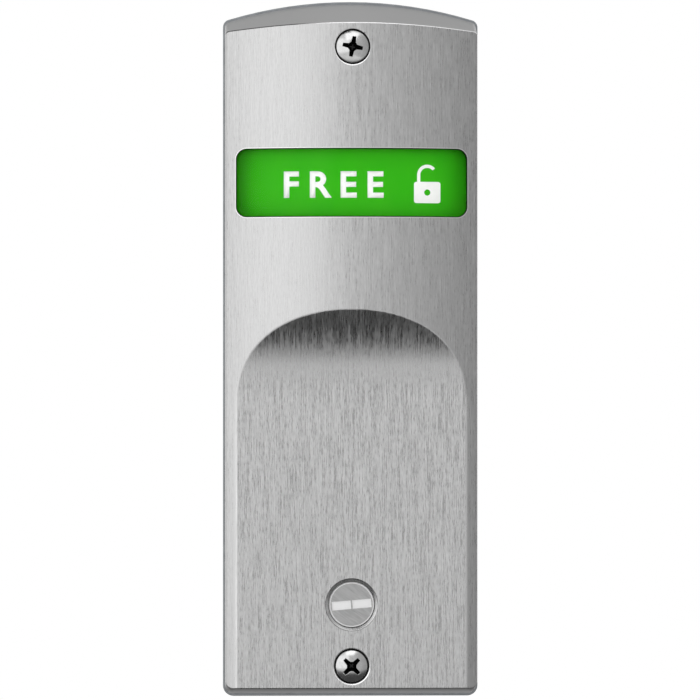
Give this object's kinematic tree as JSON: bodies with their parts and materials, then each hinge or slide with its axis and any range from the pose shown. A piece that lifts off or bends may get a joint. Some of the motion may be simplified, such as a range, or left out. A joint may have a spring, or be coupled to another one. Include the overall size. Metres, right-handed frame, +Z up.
{
  "type": "door occupancy indicator",
  "caption": "Door occupancy indicator: a coin turn drives a crank and slide that lift a coloured flag behind a curved window in a crowned and scooped brushed cover.",
  "frame": {"origin": "on the door's face, on the axis of the coin turn", "axes": "+Z up the door, +Y into the door, +X to the right as the indicator is looked at"},
  "size_m": [0.059, 0.0218, 0.1609],
  "materials": {
    "brushed_stainless": "brushed upright, satin",
    "zinc_plated_steel": "bright zinc plate, satin",
    "polished_stainless": "polished",
    "satin_chrome": "satin chrome plate",
    "spring_steel": "plain, lightly oiled",
    "bearing_brass": "turned, satin",
    "clear_polycarbonate": "clear, glossy",
    "foam_tape": "matte black foam",
    "moulded_acetal": "moulded, satin",
    "green_film": "satin printed film",
    "red_film": "satin printed film",
    "nylon": "natural, matte"
  },
  "bodies": {
    "housing": {"front_cover": "brushed_stainless", "mounting_plate": "zinc_plated_steel", "upper_standoff": "bearing_brass", "lower_standoff": "bearing_brass", "cover_screws": "polished_stainless", "window_lens": "clear_polycarbonate", "lens_tapes": "foam_tape", "guide_rail_left": "zinc_plated_steel", "guide_rail_right": "zinc_plated_steel", "guide_screws": "zinc_plated_steel", "turn_bushing": "bearing_brass", "detent_spring": "spring_steel", "detent_rivet": "zinc_plated_steel"},
    "turn": {"coin_turn": "satin_chrome", "crank_arm": "zinc_plated_steel", "crank_pin": "zinc_plated_steel", "retaining_ring": "spring_steel", "detent_cam": "zinc_plated_steel", "turn_washer": "nylon"},
    "indicator": {"indicator_slide": "zinc_plated_steel", "flag_carrier": "moulded_acetal", "green_label": "green_film", "red_label": "red_film", "flag_rivets": "zinc_plated_steel"}
  },
  "joints": [
    {"name": "turn_hinge", "type": "hinge", "parent": "housing", "child": "turn", "pos_m": [0, 0, 0], "axis": [0, -1, 0], "range_deg": [0, 90]},
    {"name": "flag_slide", "type": "slide", "parent": "housing", "child": "indicator", "axis": [0, 0, 1], "range_m": [0, 0.01728]}
  ],
  "couplings": [
    {"joint": "turn_hinge", "follows": "flag_slide", "rad_per_m": 90.9}
  ]
}
